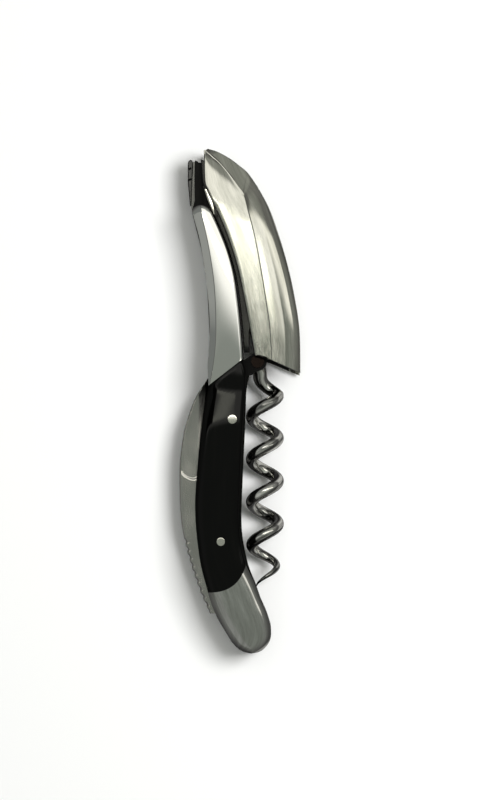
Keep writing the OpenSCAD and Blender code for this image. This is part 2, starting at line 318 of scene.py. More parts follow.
class Shader(Nodes):
    """A Principled material. Texture scales are in cycles for each millimetre."""

    def __init__(self, name, color, metallic=0.0, roughness=0.3, **sockets):
        self.mat = bpy.data.materials.new(name)
        self.mat.use_nodes = True
        super().__init__(self.mat.node_tree)
        self.main = self.tree.nodes["Principled BSDF"]
        self.normal = None
        self.set(Base_Color=color, Metallic=metallic, Roughness=roughness, **sockets)

    def set(self, **sockets):
        for key, value in sockets.items():
            self.plug(self.main.inputs[key.replace("_", " ")], value)

    def place(self, flow=False, scale=(1, 1, 1)):
        """Texture place in millimetres: the object's own, or along and across its flow."""
        if flow:
            source = self.node("ShaderNodeUVMap")
            source.uv_map = "flow"
            out = source.outputs["UV"]
        else:
            source = self.node("ShaderNodeTexCoord")
            out = source.outputs["Object"]
            scale = tuple(s / MM for s in scale)
        return self.node("ShaderNodeMapping", Vector=out, Scale=scale).outputs["Vector"]

    def noise(self, place, detail=3.0, rough=0.5):
        return self.node("ShaderNodeTexNoise", Vector=place, Scale=1.0, Detail=detail,
                         Roughness=rough).outputs["Fac"]

    def ramp(self, value, low, high, out_low=0.0, out_high=1.0):
        return self.node("ShaderNodeMapRange", Value=value, From_Min=low, From_Max=high,
                         To_Min=out_low, To_Max=out_high).outputs["Result"]

    def bump(self, height, strength, reach):
        """Adds a bump layer over those before it. reach is its depth in millimetres."""
        made = self.node("ShaderNodeBump", Height=height, Strength=strength, Distance=reach * MM)
        if self.normal:
            self.plug(made.inputs["Normal"], self.normal)
        self.normal = made.outputs["Normal"]
        self.set(Normal=self.normal)


def brushed_steel(name, color, dark, rough, flow=True, grain=1.0, span=(0.45, 0.95)):
    """Steel with fine lengthwise grinding lines, a few coarser ones, and faint handling marks.
    grain is how fine the lines are, and span the range of the noise from dark to color."""
    s = Shader(name, color, metallic=1.0)
    fine = s.noise(s.place(flow, (0.45, 8 * grain, 1) if flow else (3, 0.3, 3)), detail=5, rough=0.65)
    broad = s.noise(s.place(flow, (0.05, 0.9 * grain, 1) if flow else (0.5, 0.04, 0.5)), detail=2)
    cloud = s.noise(s.place(scale=(0.12, 0.05, 0.12)))
    lines = s.math("ADD", broad, s.math("MULTIPLY", fine, 0.4))
    s.set(Base_Color=s.mix(s.ramp(lines, *span), dark, color),
          Roughness=s.math("ADD", s.ramp(fine, 0.3, 0.7, *rough), s.ramp(cloud, 0.3, 0.7, -0.03, 0.05)))
    s.bump(fine, strength=0.25, reach=0.004)
    s.bump(broad, strength=0.12, reach=0.012)
    return s.mat


def polished_steel(name, color, rough, scratches=0.05, depth=0.05):
    """Mirror-polished steel with hair scratches and a breath of smudging."""
    s = Shader(name, color, metallic=1.0)
    hair = s.noise(s.place(scale=(6, 0.25, 6)), detail=5, rough=0.7)
    smudge = s.noise(s.place(scale=(0.25, 0.12, 0.25)))
    s.set(Roughness=s.math("ADD", s.ramp(smudge, 0.35, 0.75, rough, rough * 1.9),
                           s.ramp(hair, 0.62, 0.8, 0.0, scratches)))
    s.bump(s.ramp(hair, 0.5, 0.8), strength=depth, reach=0.01)
    return s.mat


def horn(name):
    """Polished black buffalo horn: near black, with faint smoky streaks along the grain."""
    black, smoke = (0.0003, 0.0003, 0.0003), (0.0018, 0.0016, 0.0013)
    s = Shader(name, black, Specular_IOR_Level=0.22)
    grain = s.noise(s.place(True, (0.05, 0.7, 1)), detail=5, rough=0.6)
    pores = s.noise(s.place(True, (0.6, 6, 1)))
    s.set(Base_Color=s.mix(s.ramp(grain, 0.5, 0.8), black, smoke),
          Roughness=s.ramp(pores, 0.35, 0.7, 0.03, 0.07))
    s.bump(pores, strength=0.04, reach=0.01)
    return s.mat


def grey(value):
    return (value,) * 3


M_HORN = horn("black_horn")
M_BOLSTER = polished_steel("bolster_polish", (0.80, 0.80, 0.78), rough=0.014, scratches=0.02)
M_PIN = polished_steel("pin_silver", (0.86, 0.84, 0.77), rough=0.045, scratches=0.03)
M_BLADE = polished_steel("blade_polish", (0.50, 0.49, 0.47), rough=0.09, scratches=0.02, depth=0.006)
M_DARK_PIN = polished_steel("pin_steel", (0.02, 0.014, 0.012), rough=0.12)
M_END = brushed_steel("end_bolster_satin", (0.74, 0.74, 0.72), (0.40, 0.40, 0.38),
                      rough=(0.04, 0.12), grain=0.6)
M_WORM = brushed_steel("worm_polish", (1.0, 0.99, 0.95), grey(0.04),
                       rough=(0.05, 0.13), grain=0.8, span=(0.58, 0.80))
M_SHELL = brushed_steel("lever_brushed", (0.77, 0.76, 0.70), (0.47, 0.47, 0.42),
                        rough=(0.05, 0.12), grain=0.5, span=(0.5, 0.9))
# The lever's frame plates and tang are painted dark as shade: they lie in the shaded slot between the top
# bolster and the shell.
M_FRAME = brushed_steel("frame_painted_shade", (0.075, 0.075, 0.07), grey(0.03), rough=(0.16, 0.3))
M_CREST = brushed_steel("crest_satin", grey(0.12), grey(0.045), rough=(0.14, 0.3))
M_SPRING = brushed_steel("spring_satin", (0.22, 0.22, 0.21), grey(0.10), rough=(0.2, 0.36), flow=False)
# The liners are painted near black as shade: they lie in the shade between the scales and the lever.
M_LINER = brushed_steel("liner_painted_shade", grey(0.016), grey(0.006), rough=(0.3, 0.45), flow=False)
# The inside of the shell and the floors of the nicks are painted near black as shade, where light hardly
# gets in.
M_CAVITY_SHADE = brushed_steel("cavity_painted_shade", grey(0.05), grey(0.02), rough=(0.4, 0.55), flow=False)


def paint(obj, *materials):
    """Gives an object its materials. Each face keeps its material number."""
    indices = [p.material_index for p in obj.data.polygons]
    obj.data.materials.clear()
    for material in materials:
        obj.data.materials.append(material)
    obj.data.polygons.foreach_set("material_index", indices)


def add_piece(obj, materials, body, slot, *nodes):
    """Gives a finished piece its materials and its body, and hides the CAD nodes that it stands for. slot
    is not used.
    """
    paint(obj, *materials)
    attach(obj, body)
    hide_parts(*nodes)


# ---------------------------------------------------------------- handle

BOLSTER_BELLY = [(-7.7, 47.5), (-6.45, 45), (-4.7, 41), (-3.2, 37), (-1.6, 31), (-0.45, 23),
                 (0.3, 15), (0.6, 10)]
BOLSTER_BACK = [(-12, 47.4), (-11.4, 45), (-10.3, 41), (-9.5, 37), (-8.3, 29), (-7.6, 21),
                (-7.6, 15), (-8.0, 8), (-7.75, 3.45)]
BOLSTER_CREASE = [(-9.7, 47.5), (-9.25, 45), (-8.3, 41), (-7.5, 37), (-6.35, 29), (-5.9, 20),
                  (-6.0, 14), (-6.6, 8.5), (-7.45, 3.75)]
SCALE_BELLY = [(0.6, 10), (1.35, 7), (1.35, 3), (0.95, -2), (0.6, -8), (0.05, -19), (-0.3, -29),
               (0.15, -35), (1.45, -41)]
SCALE_BACK = [(-7.75, 3.45), (-8.9, -2.5), (-9.9, -10), (-10.6, -17.5), (-11.1, -25),
              (-11.0, -30), (-10.4, -36.3), (-9.6, -41.3), (-7.9, -47.7)]
END_BELLY = [(1.45, -41), (3.4, -45), (5.1, -49), (6.8, -53), (7.7, -57), (7.3, -59.8),
             (5.3, -62.1), (2.9, -62.8)]
END_BACK = [(-7.9, -47.7), (-6.9, -51), (-5.0, -55), (-2.6, -59), (-0.8, -61.3), (1.0, -62.4),
            (2.9, -62.8)]
# Room over a liner, up to the ends of the scale pins.
THICK = SKIN - LINER
# How far the middle of the horn and of the bolsters stays below that.
HORN_SINK, STEEL_SINK = 0.10, 0.03


def horn_fall(y):
    """How far the horn falls toward the top bolster: a short slope with level horn above and below."""
    steepest = 0.034
    at = np.linspace(-12, 12, 241)
    slope = steepest * smooth(-8.5, -4, at) * (1 - smooth(2.0, 2.9, at))
    return np.interp(y, at, np.cumsum(slope) * (at[1] - at[0]))


def eased(d, reach, depth):
    """Depth of a soft edge break: full at the edge, none at the given reach."""
    return depth * (1 - np.clip(d / reach, 0, 1)) ** 2


def stations(n):
    """Fractions along a piece, packed close at both ends."""
    near = [0, 0.0015, 0.004]
    middle = np.linspace(near[-1], 1 - near[-1], n)
    return np.concatenate([near[:-1], middle, [1 - x for x in near[-2::-1]]])


def across_piece(flow, belly, back, least=0.0):
    """Place across a piece: -1 at the belly, 1 at the back."""
    width = np.maximum(np.linalg.norm(back - belly, axis=1), least)[:, None]
    return np.clip(flow[..., 1] / width, 0, 1) * 2 - 1


def ends(where, first, last, reach=0.18):
    """A value that is first at one end, last at the other, and 0 between."""
    return first * (1 - smooth(0, reach, where)) + last * smooth(1 - reach, 1, where)


def make_scale(side, name, node):
    """Horn slab with a crowned face, a soft back edge, and a small dip at both joints."""
    where = stations(64)
    belly, back = curve(SCALE_BELLY, where), curve(SCALE_BACK, where)
    plan, flow = plan_grid(belly, back, bow=ends(where, 0.0, 2.25), edge_r=1.6)
    crown, joint_dip = 0.35, 0.10
    height = THICK - HORN_SINK - crown * across_piece(flow, belly, back) ** 2 - horn_fall(plan[..., 1])
    height -= eased(distance(plan, belly), reach=0.7, depth=0.35)
    height -= eased(distance(plan, back), reach=1.6, depth=0.6)
    joint = np.minimum(distance(plan, plan[0]), distance(plan, plan[-1]))
    height -= joint_dip * (1 - smooth(0, 0.22, joint))
    add_piece(slab(name, plan, height, LINER, side, flow), [M_HORN], "handle", "horn", node)


def make_top_bolster(side, name, node):
    """Polished bolster, with a crease along it and a chamfer from the crease down to the back."""
    where = stations(56)
    belly, back = curve(BOLSTER_BELLY, where), curve(BOLSTER_BACK, where)
    crease = curve(BOLSTER_CREASE, where)
    plan, flow, before = creased_grid(belly, crease, back, bow=ends(where, -0.9, 0.0))
    crown, chamfer_slope, chamfer_step, thinnest = 0.10, 0.36, 0.06, 0.6
    chamfer = distance(plan, plan[:, before - 1])
    chamfer[:, :before] = 0
    height = THICK - STEEL_SINK - crown * across_piece(flow, belly, back) ** 2
    height -= eased(distance(plan, belly), reach=0.4, depth=0.16)
    height -= chamfer_slope * chamfer + chamfer_step * smooth(0, 0.14, chamfer)
    height -= eased(distance(plan, plan[0]), reach=0.7, depth=0.45)
    obj = slab(name, plan, np.maximum(height, thinnest), LINER, side, flow)
    add_piece(obj, [M_BOLSTER], "handle", "bolster_steel", node)


def make_end_bolster(side, name, node):
    """Rounded end cap, which thins toward its tip."""
    tip = 1 - 0.1 * np.cos(np.linspace(0, math.pi / 2, 12))[1:]
    where = np.concatenate([[0, 0.003, 0.008], np.linspace(0.02, 0.9, 40), tip])
    belly, back = curve(END_BELLY, where), curve(END_BACK, where)
    plan, flow = plan_grid(belly, back, bow=ends(where, 2.25, 0.0, 0.6), edge_r=2.6)
    crown, thin_from, thin_slope = 0.65, -42, 0.045
    height = THICK - STEEL_SINK - crown * across_piece(flow, belly, back, least=0.05) ** 2
    height -= eased(distance(plan, np.vstack([belly, back[::-1]])), reach=2.4, depth=0.85)
    height -= thin_slope * np.clip(thin_from - plan[..., 1], 0, None)
    add_piece(slab(name, plan, height, LINER, side, flow), [M_END], "handle", "bolster_steel", node)


for side, word in ((1, "front"), (-1, "rear")):
    make_scale(side, f"horn_{word}", f"{word}_scale")
    make_top_bolster(side, f"bolster_top_{word}", f"{word}_top_bolster")
    make_end_bolster(side, f"bolster_end_{word}", f"{word}_end_bolster")


def make_scale_pin(name, node, lean=0.0):
    """Through pin with softly domed ends, filed to lean with the horn round them."""
    low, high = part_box(node)
    middle = node_middle(node)
    r = (high.x - low.x) / 2 / MM
    top = SKIN - lean * r
    dome, shoulder = 0.012, 0.3
    profile = [(r * math.sin(a), top - dome * (1 - math.cos(a))) for a in np.linspace(0, math.pi / 2, 8)]
    profile.append((r, top - shoulder))
    pin = lathe(name, profile + [(x, -z) for x, z in profile[::-1]], middle)
    for v in pin.data.vertices:
        upper = 1 if v.co.z > MID_Z * MM else -1
        v.co.z -= upper * lean * (v.co.y - middle[1] * MM)
    add_piece(pin, [M_PIN], "handle", "pin_silver", node)


make_scale_pin("pin_upper", "upper_scale_pin", lean=0.015)
make_scale_pin("pin_lower", "lower_scale_pin")


CREST_BACK = [(-12.15, 49.2), (-12.05, 53), (-11.9, 56), (-11.8, 59.6), (-12, 60.2), (-12.5, 60.3)]
CREST_FRONT = [(-12.55, 49.2), (-12.75, 51.5), (-13.05, 54.5), (-13.05, 57), (-12.95, 59.8),
               (-12.5, 60.3)]
NICK_X, NICK_YS, NICK_TURN = -12.95, (57.8, 55.1), math.radians(28)
NICK_LENGTH, NICK_WIDTH, NICK_DEPTH = 1.8, 0.52, 1.0


def nick_cutter(y, floor):
    """A slanted bar that stands on the floor of a nick."""
    bm = bmesh.new()
    bmesh.ops.create_cube(bm, size=1)
    cos, sin = math.cos(NICK_TURN), math.sin(NICK_TURN)
    for v in bm.verts:
        along, over = v.co.x * NICK_LENGTH, v.co.y * NICK_WIDTH
        v.co = Vector((NICK_X + along * cos - over * sin, y + along * sin + over * cos,
                       floor + 3 * NICK_DEPTH * (v.co.z + 0.5)))
    return to_object("nick", bm)


def make_crest():
    """Crest of the lever spring, with broken edges and two filed nicks whose floors are painted dark as
    shade.
    """
    half = level("spring_crest")
    where = stations(40)
    back, front = curve(CREST_BACK, where), curve(CREST_FRONT, where)
    plan, flow = plan_grid(back, front, np.zeros(len(where)), edge_r=0.15, inner=4, rings=3)
    rim = distance(plan, np.vstack([front, back[::-1]]))
    height = 2 * half - eased(rim, reach=0.2, depth=0.12)
    obj = slab("crest_steel", plan, height, -half, 1, flow)
    floor = half - NICK_DEPTH
    for y in NICK_YS:
        combine(obj, nick_cutter(y, floor), "DIFFERENCE")
    for face in obj.data.polygons:
        face.material_index = int(abs(face.center.z / MM - MID_Z - floor) < 0.01)
    add_piece(obj, [M_CREST, M_CAVITY_SHADE], "handle", "spring_steel", "spring_crest")


make_crest()


# ---------------------------------------------------------------- lever

SHELL_EDGE = [(-9, 62.3), (-8.95, 59), (-8.9, 56.5), (-8.75, 54.4), (-8.4, 52.7), (-7.5, 50.8),
              (-5.5, 46.6), (-3.15, 41), (-0.6, 33), (1.1, 25), (2.35, 18.5), (3.7, 11)]
SHELL_CREASE = [(-8.5, 62.2), (-7.0, 60.8), (-5.1, 59.1), (-2.7, 56.2), (-0.6, 53.3), (0.9, 51.2),
                (2.1, 46.8), (3.55, 41), (5.1, 33), (6.4, 25), (7.4, 18), (7.9, 9.8)]
SHELL_BACK = [(-8, 62.8), (-6.0, 62.2), (-3.8, 61.1), (-1.9, 59.9), (0.0, 58.4), (1.95, 56.7),
              (6.7, 49), (9.5, 41.6), (12.0, 33), (13.75, 24.8), (14.8, 17.5), (15.0, 6.7)]
# Half-height of the back along the shell, one for each point of the lines above.
BACK_HALF = [4.9, 5.0, 5.1, 5.15, 5.2, 5.25, 5.6, 5.8, 5.8, 5.8, 5.8, 5.8]
# The station at which the facets by the hinge meet the rounded back.
APEX_STATION = 5
SHELL_WALL = 1.2
ROWS_PER_SPAN = 8


def shell_lines():
    """Edge, crease and back lines with the same number of points, so that the rows cross, and the
    half-heights of all three. Edge and crease fall toward the hinge, and hardly toward the mouth."""
    lines = [dense_curve(p, ROWS_PER_SPAN) for p in (SHELL_EDGE, SHELL_CREASE, SHELL_BACK)]
    spans = np.linspace(0, len(BACK_HALF) - 1, len(lines[0]))
    low = np.interp(spans, range(len(BACK_HALF)), BACK_HALF)
    hinge_y, mouth_y, mouth_slope = 62.5, 24, 0.002
    rim, high = (SKIN - fall * np.clip((line[:, 1] - start) / (hinge_y - start), 0, 1) ** 1.6
                 - mouth_slope * np.clip(mouth_y - line[:, 1], 0, None)
                 for line, fall, start in ((lines[0], 1.2, 49), (lines[1], 2.0, 44)))
    return (*lines, np.stack([rim, high, low], axis=1))


# Places of the crease and of the start of the back's rounding along a section.
CREASE_AT, BACK_AT = 12, 23


def shell_section(e, c, b, half, bow, straight, ridge):
    """Outside of one cross-section as (x, y, z), from the front free edge to the middle of the back.
    It bows toward +Y by bow, its back facet is flat where straight is 1, and with a ridge its crease
    is sharp."""
    flank, over = (c - e) / np.linalg.norm(c - e), (b - c) / np.linalg.norm(b - c)
    rim, high, low = half
    points = [(*(e + flank * d), rim - drop)
              for d, drop in ((0, 0.35), (0.06, 0.14), (0.18, 0.03), (0.35, 0))]
    for t in (0.15, 0.3, 0.45, 0.6, 0.7, 0.8, 0.9):
        lift = np.array([0, bow * 4 * t * (1 - t)])
        points.append((*(e + (c - e) * t + lift), rim - (rim - high) * t ** 2.2))
    points.append((*(c - flank * 0.16), high + (0.01 if ridge else 0)))
    points.append((*c, high + (0.01 if ridge else -0.09)))
    points.append((*(c + over * 0.14), high - (0.09 if ridge else 0.03)))
    descent = low - high + 0.05
    for t in (0.12, 0.24, 0.36, 0.48, 0.6, 0.7, 0.8, 0.88, 0.94):
        bend = straight * t + (1 - straight) * t ** 3
        points.append((*(c + (b - c) * t), high - 0.05 + descent * bend))
    points += [(*(b - over * d), low - z) for d, z in ((0.12, -0.02), (0.03, 0.2), (0, 0.4))]
    points += [(*b, (low - 0.4) * t) for t in (0.75, 0.5, 0.25, 0)]
    return points


def shell_inside(e, c, b, half):
    """Inside of the same cross-section, over the frames at the hinge and a wall thick below."""
    high = max(FRAME_OUT + 0.02, half[1] - SHELL_WALL)
    low = max(FRAME_IN, half[2] - SHELL_WALL)
    out = (e - b) / np.linalg.norm(e - b)
    back = b + out * SHELL_WALL
    points = [(*(e + (c - e) * t), high) for t in (0, 0.5, 1)]
    points += [(*(c + (back - c) * t), high + (low - high) * t) for t in (0.33, 0.66, 1)]
    return points + [(*back, low * 0.5), (*back, 0)]


def mirror_section(points):
    """A section with its mirror image on the rear side."""
    return points + [(x, y, -z) for x, y, z in points[-2::-1]]


def make_shell():
    """Channel of the lever: an outside and an inside sheet, joined along the free edges and the ends. The
    inside sheet is painted dark as shade.
    """
    edge, crease, back, half = shell_lines()
    n = len(edge)
    apex = APEX_STATION * ROWS_PER_SPAN
    bm = bmesh.new()
    layer = bm.loops.layers.uv.new("flow")
    outer, inner, flow_out, flow_in = [], [], [], []
    middle = (edge + back) / 2
    run = np.concatenate([[0], np.cumsum(np.linalg.norm(np.diff(middle, axis=0), axis=1))])
    for i in range(n):
        bow = 0.45 * smooth(n - 10, n - 1, i)
        straight = 1 if i <= apex else 0.12 + 0.8 * (1 - smooth(apex + 2, apex + 17, i))
        section = mirror_section(
            shell_section(edge[i], crease[i], back[i], half[i], bow, straight, i <= apex))
        outer.append([bm.verts.new(p) for p in section])
        steps = np.linalg.norm(np.diff(np.array(section), axis=0), axis=1)
        flow_out.append([(run[i], v) for v in np.concatenate([[0], np.cumsum(steps)])])
        section = mirror_section(shell_inside(edge[i], crease[i], back[i], half[i]))
        inner.append([bm.verts.new(p) for p in section])
        flow_in.append([(run[i], v) for v in np.linspace(0, 20, len(section))])
    grid_faces(bm, outer, layer, flow_out)
    last = len(outer[apex]) - 1
    for first, end in ((CREASE_AT, BACK_AT), (last - BACK_AT, last - CREASE_AT)):
        row = outer[apex][first:end + 1]
        for a, b in zip(row, row[1:]):
            bm.edges.get((a, b)).smooth = False
    grid_faces(bm, inner, layer, flow_in)
    for i in range(n - 1):
        for j in (0, -1):
            bm.faces.new([outer[i][j], outer[i + 1][j], inner[i + 1][j], inner[i][j]])
    outside = set(sum(outer, []))
    for f in bm.faces:
        f.material_index = 0 if outside & set(f.verts) else 1
    for i in (0, n - 1):
        bridge(bm, outer[i], inner[i])
    shell = to_object("lever_shell_brushed", bm, sharp_deg=20)
    combine(shell, fork_cutter(), "DIFFERENCE")
    combine(shell, mouth_cutter(), "DIFFERENCE")
    add_piece(shell, [M_SHELL, M_CAVITY_SHADE], "lever", "lever_steel", "lever_shell")


def bridge(bm, outer, inner):
    """Closes the end between two open chains of different length by walking along both."""
    i = j = 0
    last, last_in = len(outer) - 1, len(inner) - 1
    while i < last or j < last_in:
        if j == last_in or (i < last and (i + 1) / last <= (j + 1) / last_in):
            bm.faces.new([outer[i], outer[i + 1], inner[j]])
            i += 1
        else:
            bm.faces.new([outer[i], inner[j + 1], inner[j]])
            j += 1


def fork_cutter():
    """Slot between the shell's two cheeks, which clears the crest of the spring."""
    reach = 7.1
    return lathe("fork_cutter", [(0, FRAME_IN), (reach, FRAME_IN), (reach, -FRAME_IN), (0, -FRAME_IN)],
                 LEVER_PIVOT, sides=96)


def mouth_cutter():
    """U-shaped notch in the back of the mouth."""
    half, top, corner = 5.05, 16.7, 3.2
    from_x, to_x = 2.5, 20
    arc = [(top - corner + corner * math.sin(a), half - corner + corner * math.cos(a))
           for a in np.linspace(0, math.pi / 2, 9)]
    outline = [(0, half)] + arc + [(y, -z) for y, z in arc[::-1]] + [(0, -half)]
    bm = bmesh.new()
    loops = [[bm.verts.new((x, y, z)) for y, z in outline] for x in (from_x, to_x)]
    bm.faces.new(loops[0])
    bm.faces.new(loops[1])
    grid_faces(bm, loops, closed=True)
    return to_object("mouth_cutter", bm)


make_shell()

FRAME_EDGE = [(-9.75, 60.2), (-9.65, 57), (-9.35, 54.2), (-8.9, 52.4), (-7.9, 49.4), (-6.2, 45.6),
              (-3.2, 38.4), (-1.1, 31), (0.05, 23), (0.8, 15), (1.0, 12.4)]
FRAME_INNER = [(-6.6, 59.6), (-4.4, 57.2), (-2.9, 55.0), (-2.0, 52.4), (-1.4, 49.4), (-1.2, 45.6),
               (0.5, 38.4), (1.9, 31), (2.7, 23), (2.9, 18.6), (2.45, 17.2), (2.4, 15), (2.4, 12.4)]
FRAME_ROUND = 0.25
# Width of the polished land along the edge beside the top bolster, against Y.
LAND_Y, LAND_WIDTH = [46.4, 49.0, 51.5, 53.0], [0.2, 0.85, 1.0, 0.4]


def land_column(plan, edge, column=7):
    """Moves one column of the grid onto the land's border, so that the land ends in a clean line."""
    for row, start in zip(plan, edge):
        reach = np.linalg.norm(row - start, axis=1)
        border = np.interp(np.interp(start[1], LAND_Y, LAND_WIDTH), distance(row, edge), reach)
        if LAND_Y[0] < start[1] < LAND_Y[-1] and 0 < border < reach[-2]:
            moved = np.interp(reach, [0, reach[column], reach[-1]], [0, border, reach[-1]])
            row[:] = start + (row - start) * (moved / np.maximum(reach, 1e-9))[:, None]


def make_frame(side, name, node):
    """Inner plate of the lever, painted dark as shade, with rounded edges and a polished land beside the
    top bolster.
    """
    where = stations(60)
    edge, inner = curve(FRAME_EDGE, where), curve(FRAME_INNER, where)
    plan, flow = plan_grid(edge, inner, ends(where, -0.35, 0, 0.05), FRAME_ROUND, inner=14, rings=3)
    land_column(plan, edge)
    rim = distance(plan, np.vstack([inner[::-1], plan[0][::-1], edge, plan[-1]]))
    height = (FRAME_OUT - FRAME_IN) - FRAME_ROUND * (1 - rounded(rim, FRAME_ROUND))
    obj = slab(name, plan, height, FRAME_IN, side, flow)
    for face in obj.data.polygons:
        middle = np.array(face.center)[:2] / MM
        near = distance(middle[None], edge)[0] < np.interp(middle[1], LAND_Y, LAND_WIDTH)
        face.material_index = int(near and LAND_Y[0] < middle[1] < LAND_Y[-1])
    add_piece(obj, [M_FRAME, M_PIN], "lever", "frame_steel", node)


make_frame(1, "frame_plate_front", "front_lever_frame")
make_frame(-1, "frame_plate_rear", "rear_lever_frame")


# ---------------------------------------------------------------- worm

AXIS_X, HELIX_TOP = 6.2, 1.4
HELIX_R, PITCH, TURNS = 3.25, 10.68, 4.5
LAST = 360 * TURNS
# Degrees of the lead from the hub into the coil, its start in X, and its rise above the coil.
LEAD, LEAD_X, LEAD_RISE = 150.0, 5.0, 5.6
# The last coil narrows over so many degrees, and the wire tapers to its point over so many.
NARROWING, LAST_COIL_R = 300, 2.1
TAPER, WIRE_R, POINT_R = 420, 1.5, 0.05


def coil_radius(a):
    """Radius of the coil at an angle in degrees. The lead lies at negative angles."""
    if a < 0:
        return HELIX_R * max(1 + a / LEAD, 0) ** 1.3
    past = max(a - LAST + NARROWING, 0) / NARROWING
    return HELIX_R + (LAST_COIL_R - HELIX_R) * past ** 1.5


def wire_radius(a):
    """Radius of the wire at an angle in degrees."""
    past = max(a - LAST + TAPER, 0) / TAPER
    return WIRE_R + (POINT_R - WIRE_R) * past ** 1.4


def worm_point(a):
    """Middle of the wire at an angle along the worm."""
    r, turn = coil_radius(a), math.radians(a)
    x = AXIS_X + min(a, 0) / LEAD * (AXIS_X - LEAD_X) + r * math.cos(turn)
    y = HELIX_TOP - (LEAD_RISE * a / LEAD if a < 0 else PITCH * a / 360)
    return np.array([x, y, r * math.sin(turn)])


def tube(bm, centres, radii, wide, sides, layer):
    """Tube along a path, with its frame carried smoothly from ring to ring. wide is its width in the
    plane of the handle against its thickness, ring by ring."""
    rings, flow = [], []
    up = np.array([0.0, 0.0, 1.0])
    run = 0.0
    for i, (p, r, w) in enumerate(zip(centres, radii, wide)):
        ahead = centres[min(i + 1, len(centres) - 1)] - centres[max(i - 1, 0)]
        ahead = ahead / np.linalg.norm(ahead)
        up = up - ahead * up.dot(ahead)
        up = up / np.linalg.norm(up)
        across = np.cross(ahead, up)
        if i:
            run += np.linalg.norm(p - centres[i - 1])
        rings.append([bm.verts.new(p + r * (math.cos(t) * up + w * math.sin(t) * across))
                      for t in np.linspace(0, 2 * math.pi, sides, endpoint=False)])
        flow.append([(run, 2 * math.pi * WIRE_R * k / sides) for k in range(sides + 1)])
    grid_faces(bm, rings, layer, flow, closed=True)
    bm.faces.new(rings[0])
    bm.faces.new(rings[-1])


def bore(r, at):
    """Cutter for a round hole right through a hub."""
    return lathe("bore", [(0, 3), (r, 3), (r, -3), (0, -3)], at)


def make_worm():
    """Coil with its lead, joined to the eye round the worm pin."""
    bm = bmesh.new()
    layer = bm.loops.layers.uv.new("flow")
    turns = list(np.arange(14 - LEAD, LAST, 8.0)) + [LAST]
    neck = [np.array([*WORM_PIVOT, 0]) + np.array(d)
            for d in ((0.25, -1.0, 0), (0.42, -2.0, 0), (0.6, -2.9, 0))]
    centres = neck + [worm_point(a) for a in turns]
    radii = [1.33, 1.36, 1.38] + [min(wire_radius(a), 1.39 + 0.11 * smooth(-LEAD, -80, a)) for a in turns]
    wide = [1.28, 1.27, 1.26] + [1 + 0.25 * (1 - smooth(-LEAD, -20, a)) for a in turns]
    tube(bm, centres, radii, wide, 28, layer)
    worm = to_object("worm_steel", bm, sharp_deg=50)
    half, hole = level("worm_hub"), 1.1
    side = [(hole, half - 0.15), (1.25, half), (2.05, half), (2.25, half - 0.12), (2.3, half - 0.35)]
    eye = lathe("eye", side + [(r, -z) for r, z in side[::-1]] + side[:1], WORM_PIVOT)
    combine(worm, eye, "UNION")
    combine(worm, bore(hole, WORM_PIVOT), "DIFFERENCE")
    add_piece(worm, [M_WORM], "corkscrew", "worm_steel", "worm", "worm_hub")


make_worm()


# ---------------------------------------------------------------- foil blade

SPINE = [(-8.0, 5.7), (-9.8, 3), (-11, 1), (-11.9, -1), (-13.8, -7), (-14.5, -11), (-14.95, -15),
         (-15.05, -22), (-14.5, -31), (-12.75, -39), (-10.1, -47), (-8.4, -51), (-7.4, -53)]
EDGE = [(-7.9, 5.4), (-7.6, 2), (-7.3, -1), (-7.1, -4), (-6.8, -9), (-6.6, -13), (-6.6, -17),
        (-6.5, -23), (-6.4, -32), (-6.2, -39), (-6.1, -46), (-5.6, -50.5), (-6.25, -52.9)]
# Plunge line, where the grind from the tip ends and the flat faces of the ricasso begin.
PLUNGE = [(-15.6, -14.2), (-15.05, -15.9), (-14.85, -17.2), (-14.2, -18.7), (-13.0, -19.5),
          (-11.6, -19.9), (-10.7, -19.6), (-10.0, -19.0), (-6, -18.8)]
# File-work on the spine: pitch, depth into the spine, depth into the faces, and how far it reaches.
FILE_PITCH, FILE_IN, FILE_DOWN, FILE_REACH = 1.95, 0.32, 0.15, 0.9


def file_work(y):
    """Row of scallops along the spine: 0 between them, 1 at the bottom of each."""
    filed = smooth(-33.0, -34.5, y) * smooth(-52.6, -51.8, y)
    scallop = 0.5 * (1 - np.cos(2 * math.pi * (y + 34) / FILE_PITCH))
    return filed * scallop ** 1.4


